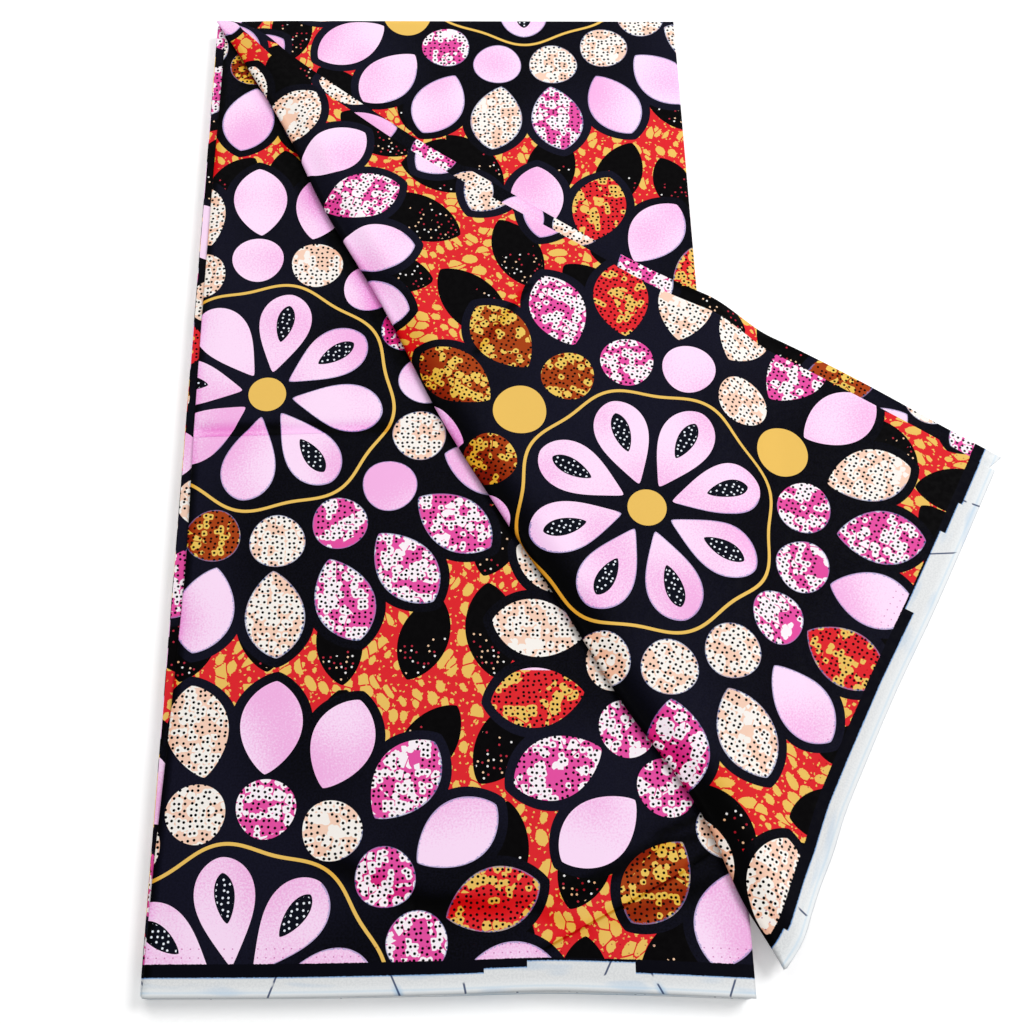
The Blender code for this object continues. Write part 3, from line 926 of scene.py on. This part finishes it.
def leafy_ground(g, cloth, dots, grain):
    """The crackled ground, and on it black leaves with pin dots at one end."""
    leaf = g.cells(g.vector("MULTIPLY", cloth, LEAF_STRETCH), LEAF_CELLS, randomness=0.30)
    local = g.vector("SUBTRACT", cloth, g.vector("DIVIDE", leaf["Position"], LEAF_STRETCH))
    turn_luck, size_luck, _ = g.split(leaf["Color"], "Color")
    lean = g.times(turn_luck, 2 * LEAF_LEAN, math.pi / 2 - LEAF_LEAN)
    turned = g.node("VectorRotate", {"Vector": local, "Angle": lean}, rotation_type="Z_AXIS")
    x, y, _ = g.split(turned.outputs[0])
    size = g.choose(size_luck, 0.80, 1.10)
    across = g.calc("ABSOLUTE", g.calc("DIVIDE", y, size))
    along = g.calc("DIVIDE", x, size)
    shape = petal_shape(g, across, along, *LEAF)
    ground = g.mix(g.under(shape, 1.0), crackle(g, cloth, grain), colour(BLACK))
    reach_luck, colour_luck, kept_luck = g.split(dots["Color"], "Color")
    end = g.over(along, g.times(reach_luck, 0.016, -0.006))
    inside, kept = g.under(shape, 0.86), g.over(kept_luck, 0.45)
    dot = g.both(inside, end, kept, g.under(dots["Distance"], PALE_DOT_SIZE))
    return g.mix(dot, ground, g.table(colour_luck, [(limit, colour(code)) for limit, code in LEAF_DOTS]))


def dotted_fill(g, cloth, dots, grain, fill):
    """Fill of a petal: speckled pink, plain yellow, or black dots on a ground with pale blotches."""
    ground = g.table(fill, [(row.limit, colour(row.ground)) for row in FILLS])
    blotch = g.table(fill, [(row.limit, colour(row.blotch)) for row in FILLS])
    rare = g.table(fill, [(row.limit, (row.rare, row.rare, row.rare, 1.0)) for row in FILLS])
    printed = g.over(fill, PLAIN_FILLS)
    around = g.under(g.times(grain, EDGE_GRAIN, dots["Distance"]), 0.70)
    by_dot = g.noise(dots["Position"], scale=120.0, detail=0.0)
    halo = g.both(around, g.over(g.calc("SUBTRACT", by_dot, rare), 0.03))
    by_place = g.noise(cloth, scale=60.0, detail=0.0)
    pool = g.over(g.calc("SUBTRACT", by_place, rare), -0.08)
    pool = g.both(pool, bubbles(g, cloth, BLOTCH_CELLS, grain, smallest=0.20, largest=0.62))
    speck = g.ramp(g.times(grain, 0.75, g.noise(cloth, scale=24.0, detail=0.0)), 0.50, 1.12)
    leaf = g.mix(g.choose(printed, speck, g.calc("MAXIMUM", halo, pool)), ground, blotch)
    kept = g.under(g.noise(dots["Position"], scale=55.0, detail=0.0), 0.75)
    dot = g.both(g.under(dots["Distance"], DOT_SIZE), kept)
    return g.mix(g.both(printed, dot), leaf, colour(BLACK))


def navy_ground(g, cloth, grain):
    """Navy lighter in wide soft patches of painted sheen, and a little with the grain."""
    sheen_patches = g.ramp(g.noise(cloth, scale=7.0, detail=1.0), 0.36, 0.64, end=0.65)
    grain_and_sheen = g.times(g.ramp(grain, 0.3, 0.7), 0.35, sheen_patches)
    return g.mix(grain_and_sheen, colour(NAVY), colour(GRAIN_AND_SHEEN_NAVY))


def fringed(g, local, nearest, grain, leaf):
    """A petal's fill with a fringe of blue ink at its edge, on one side of the rosette."""
    rim = g.over(g.times(grain, EDGE_GRAIN, nearest), 1.02)
    side = g.over(g.vector("DOT_PRODUCT", local, (0.8, -0.6, 0.0)), 0.0)
    return g.mix(g.both(rim, side, 0.6), leaf, colour(FRINGE))


def petal_eye(g, petal, dots, figure):
    """A dark eye with pale dots in three petals of four."""
    shape = petal_shape(g, petal.across, g.calc("SUBTRACT", petal.along, EYE_OUT), *EYE)
    eye = g.both(g.under(shape, 1.0), g.over(petal.luck, 0.25))
    dot = g.both(g.under(shape, 0.80), g.under(dots["Distance"], PALE_DOT_SIZE), eye)
    return g.mix(dot, g.mix(eye, figure, colour(EYE_NAVY)), colour(EYE_DOT))


def print_colour(g, cloth):
    """The whole print: rosettes on a leafy ground, and the bare selvedge."""
    dots = g.cells(cloth, 1 / DOT_SPACING, randomness=0.50)
    grain = g.noise(cloth, scale=1000.0, detail=1.0, rough=0.7)
    local, chance = rosette_place(g, cloth)
    radius = g.vector("LENGTH", local)
    x, y, _ = g.split(local)
    turn = g.calc("DIVIDE", g.calc("ARCTAN2", y, x), 2 * math.pi)
    petals = [petal_ring(g, radius, turn, chance, number) for number in range(len(RINGS))]
    fill, nearest = 0.0, 9.0  # outside every petal
    for petal, ring in zip(petals, RINGS):
        own = g.times(petal.luck, ring.last_fill - ring.first_fill, ring.first_fill)
        fill = g.choose(g.under(petal.shape, 1.0), fill, own)
        nearest = g.calc("MINIMUM", nearest, petal.shape)
    leaf = fringed(g, local, nearest, grain, dotted_fill(g, cloth, dots, grain, fill))
    figure = g.mix(g.under(nearest, 1.0), navy_ground(g, cloth, grain), leaf)
    inner, outer, ring = petals[0], petals[-1], RINGS[-1]
    figure = petal_eye(g, inner, dots, figure)
    lobes = g.calc("COSINE", g.calc("MULTIPLY", inner.step, 2 * math.pi))
    line = g.away(radius, g.times(lobes, -SCALLOP_WAVE, SCALLOP_RADIUS))
    figure = g.mix(g.under(line, SCALLOP_HALF_WIDTH), figure, colour(YELLOW))
    figure = g.mix(g.under(radius, HEART), figure, colour(YELLOW))
    sizes = (ring.half_length + HALO, ring.half_width + HALO, ring.point)
    halo = petal_shape(g, outer.across, outer.along, *sizes)
    within = g.calc("MAXIMUM", g.under(halo, 1.0), g.under(radius, ring.middle))
    field = g.mix(within, leafy_ground(g, cloth, dots, grain), figure)
    return selvedge(g, cloth, field, grain)


def pin_holes(g, field, u, v):
    """Two rows of pin holes along the selvedge, darker than what is printed there."""
    along = g.away(g.calc("FRACT", g.calc("DIVIDE", u, PIN_SPACING)), 0.5)
    across = g.away(g.away(v, PIN_ROWS_MIDDLE), PIN_ROWS_APART)
    pin = g.both(g.under(along, PIN_HALF_LENGTH), g.under(across, PIN_HALF_WIDTH))
    return g.mix(pin, field, PIN_TINT, blend_type="MULTIPLY")


def selvedge_white(g, cloth, u, v, edge, grain):
    """White of the selvedge, with smears, faint lines and slanting ticks of blue ink."""
    cell = g.calc("DIVIDE", u, TICK_SPACING)
    luck = g.luck(g.calc("FLOOR", cell), "1D")
    slant = g.both(g.calc("SUBTRACT", luck, 0.72), g.calc("MULTIPLY", v, TICK_SLANT))
    off = g.away(g.calc("ADD", g.calc("FRACT", cell), slant), 0.5)
    ticked, blurred = g.over(luck, 0.50), g.over(luck, 0.86)
    blur = g.both(g.ramp(off, 0.0, 0.11, start=0.65, end=0.0), blurred)
    ends = g.ramp(g.noise(cloth, scale=120.0, detail=0.0), 0.42, 0.50)
    tick = g.both(g.ramp(off, 0.010, 0.022, start=1.0, end=0.0), ticked, ends)
    streaks = g.noise(g.vector("MULTIPLY", cloth, (1.0, 5.0, 1.0)), scale=28.0, detail=1.0)
    smear = g.calc("MULTIPLY", g.ramp(streaks, 0.55, 0.75), 0.25)
    outer = g.ramp(v, 0.0015, 0.0070, start=1.0, end=0.0)
    line = g.away(v, FAINT_LINE)
    white = g.mix(outer, colour(INNER_WHITE), colour(OUTER_WHITE))
    layers = (
        # how much, colour
        (g.ramp(grain, 0.35, 0.65, end=0.35), THREAD_WHITE),
        (g.calc("MAXIMUM", smear, g.both(blur, outer)), SMEAR_BLUE),
        (g.ramp(line, 0.0, 0.0010, start=0.30, end=0.0), LINE_BLUE),
        (g.ramp(v, 0.0, 0.0007, start=0.30, end=0.0), RAW_EDGE),
        (g.ramp(edge, 0.0, 0.0009, start=0.9, end=0.0), STEP_BLUE),
        (g.calc("MULTIPLY", tick, 0.9), TICK_BLUE),
    )
    for share, code in layers:
        white = g.mix(share, white, colour(code))
    return white


def selvedge(g, cloth, field, grain):
    """The print with its pin holes, its stepped navy border and the white selvedge."""
    u, v, _ = g.split(cloth)
    inner = g.times(grain, BORDER_ROUGH, g.calc("SUBTRACT", v, BORDER_ROUGH / 2))
    border = g.under(inner, SELVEDGE + BORDER)
    shown = g.mix(border, pin_holes(g, field, u, v), colour(BORDER_COLOUR))
    step = g.calc("FRACT", g.calc("DIVIDE", g.calc("SUBTRACT", u, NOTCH_START), NOTCH_SPACING))
    width = g.times(g.under(step, HALF_NOTCH_SHARE), -HALF_NOTCH * NOTCH_DEPTH, SELVEDGE)
    width = g.times(g.under(step, NOTCH_SHARE), NOTCH_DEPTH, width)
    edge = g.calc("SUBTRACT", width, inner)
    return g.mix(g.over(edge, 0.0), shown, selvedge_white(g, cloth, u, v, edge, grain))


def sharp_creases(g, cloth):
    """Painted shade beside each sharp crease of the second panel: full at its line, gone at its reach.
    """
    tint = 0.0
    for x0, y0, x1, y1, reach, strength in PANEL_SHARP_CREASES:
        run = Vector((x1 - x0, y1 - y0, 0.0))
        start = (x0 + PRINT_PLACES["second_panel"], y0 + HALF_LENGTH, 0.0)
        place = g.vector("SUBTRACT", cloth, start)
        share = g.vector("DOT_PRODUCT", place, tuple(run / run.length_squared))
        side = Vector((-run.y, run.x, 0.0)) / (run.length * reach)
        off = g.vector("DOT_PRODUCT", place, tuple(side))
        beside = g.both(g.over(off, 0.0), g.ramp(off, 0.0, 1.0, start=strength, end=0.0))
        ends = g.both(g.ramp(share, 0.0, 0.06), g.ramp(share, 0.94, 1.0, start=1.0, end=0.0))
        tint = g.calc("MAXIMUM", tint, g.both(beside, ends))
    return tint


def weave(g, cloth):
    """Height of a plain weave, as a share of a thread's."""
    scaled = g.node("VectorMath", {0: cloth, "Scale": math.pi / THREAD}, operation="SCALE")
    x, y, _ = g.split(scaled.outputs["Vector"])
    warp, weft = g.calc("SINE", x), g.calc("SINE", y)
    above = g.over(g.calc("MULTIPLY", warp, weft), 0.0)
    return g.choose(above, g.calc("ABSOLUTE", warp), g.calc("ABSOLUTE", weft))


def wax_print():
    """The printed cotton: pattern, darkened by painted shade in the creases and beside the folds, plain
    weave and soft glaze.
    """
    material = bpy.data.materials.new("wax_print")
    material.use_nodes = True
    shader = material.node_tree.nodes["Principled BSDF"]
    g = Graph(material.node_tree)
    cloth = g.node("UVMap", uv_map="cloth").outputs[0]
    sharp = sharp_creases(g, cloth)
    # painted shade: a gamma darkens the print by the crease attribute and the sharp creases' tint
    crease = g.calc("MAXIMUM", g.node("Attribute", attribute_name="crease").outputs["Fac"], sharp)
    shaded_print = g.node("Gamma", {0: print_colour(g, cloth), 1: g.times(crease, 1.1, 1.0)})
    rough = g.ramp(g.noise(cloth, scale=300.0), 0.3, 0.7, start=0.52, end=0.66)
    bump = g.node("Bump", {"Strength": 0.25, "Distance": 0.00008, "Height": weave(g, cloth)})
    inputs = {"Strength": 1.0, "Distance": 0.0006, "Height": sharp, "Normal": bump.outputs[0]}
    bump = g.node("Bump", inputs)
    settings = {
        "Base Color": shaded_print.outputs[0],
        "Roughness": rough,
        "Normal": bump.outputs[0],
        "Specular IOR Level": 0.03,
        "Sheen Weight": 0.008,
        "Sheen Roughness": 0.45,
    }
    for name, value in settings.items():
        g.put(shader.inputs[name], value)
    return material


def plain_floor():
    """A wide pale floor that glows a little, so that it stays white."""
    mesh = bpy.data.meshes.new("floor")
    corners = [(x * FLOOR_HALF, y * FLOOR_HALF, 0) for x, y in ((-1, -1), (1, -1), (1, 1), (-1, 1))]
    mesh.from_pydata(corners, [], [(0, 1, 2, 3)])
    material = bpy.data.materials.new("floor")
    material.use_nodes = True
    shader = material.node_tree.nodes["Principled BSDF"]
    shader.inputs["Base Color"].default_value = FLOOR_WHITE
    shader.inputs["Roughness"].default_value = 0.9
    shader.inputs["Emission Color"].default_value = PURE_WHITE
    shader.inputs["Emission Strength"].default_value = FLOOR_GLOW
    mesh.materials.append(material)
    floor = bpy.data.objects.new("floor", mesh)
    bpy.context.scene.collection.objects.link(floor)


def light(name, place, size, power):
    """A round soft light that shines on the middle of the floor."""
    lamp = bpy.data.lights.new(name, "AREA")
    lamp.shape = "DISK"
    lamp.size = size
    lamp.energy = power
    thing = bpy.data.objects.new(name, lamp)
    thing.location = place
    thing.rotation_euler = (-Vector(place)).to_track_quat("-Z", "Y").to_euler()
    bpy.context.scene.collection.objects.link(thing)


def camera():
    """The camera at the photo's view."""
    lens = bpy.data.cameras.new("camera")
    lens.lens = CAMERA_LENS
    lens.sensor_width = CAMERA_SENSOR
    lens.shift_x = CAMERA_SHIFT
    lens.clip_start = 0.01
    thing = bpy.data.objects.new("camera", lens)
    thing.location = CAMERA_PLACE
    thing.rotation_euler = [math.radians(angle) for angle in CAMERA_TURN]
    bpy.context.scene.collection.objects.link(thing)
    bpy.context.scene.camera = thing


def stage():
    """The floor, the lights and the white surroundings, with colours shown as they are."""
    plain_floor()
    for name, place, size, power in LIGHTS:
        light(name, place, size, power)
    world = bpy.data.worlds.new("studio")
    world.use_nodes = True
    background = world.node_tree.nodes["Background"]
    background.inputs["Color"].default_value = PURE_WHITE
    background.inputs["Strength"].default_value = WORLD_STRENGTH
    bpy.context.scene.world = world
    bpy.context.scene.view_settings.view_transform = "Standard"
    bpy.context.scene.view_settings.look = "None"


def main():
    collection = bpy.data.collections.new("wax_print_cloth")
    bpy.context.scene.collection.children.link(collection)
    material = wax_print()
    folded_stack(collection, material)
    second_panel(collection, material)
    under = turned_sheet("under_sheet", UNDER, collection, material)
    over = turned_sheet("over_sheet", OVER, collection, material)
    stage()
    camera()


main()
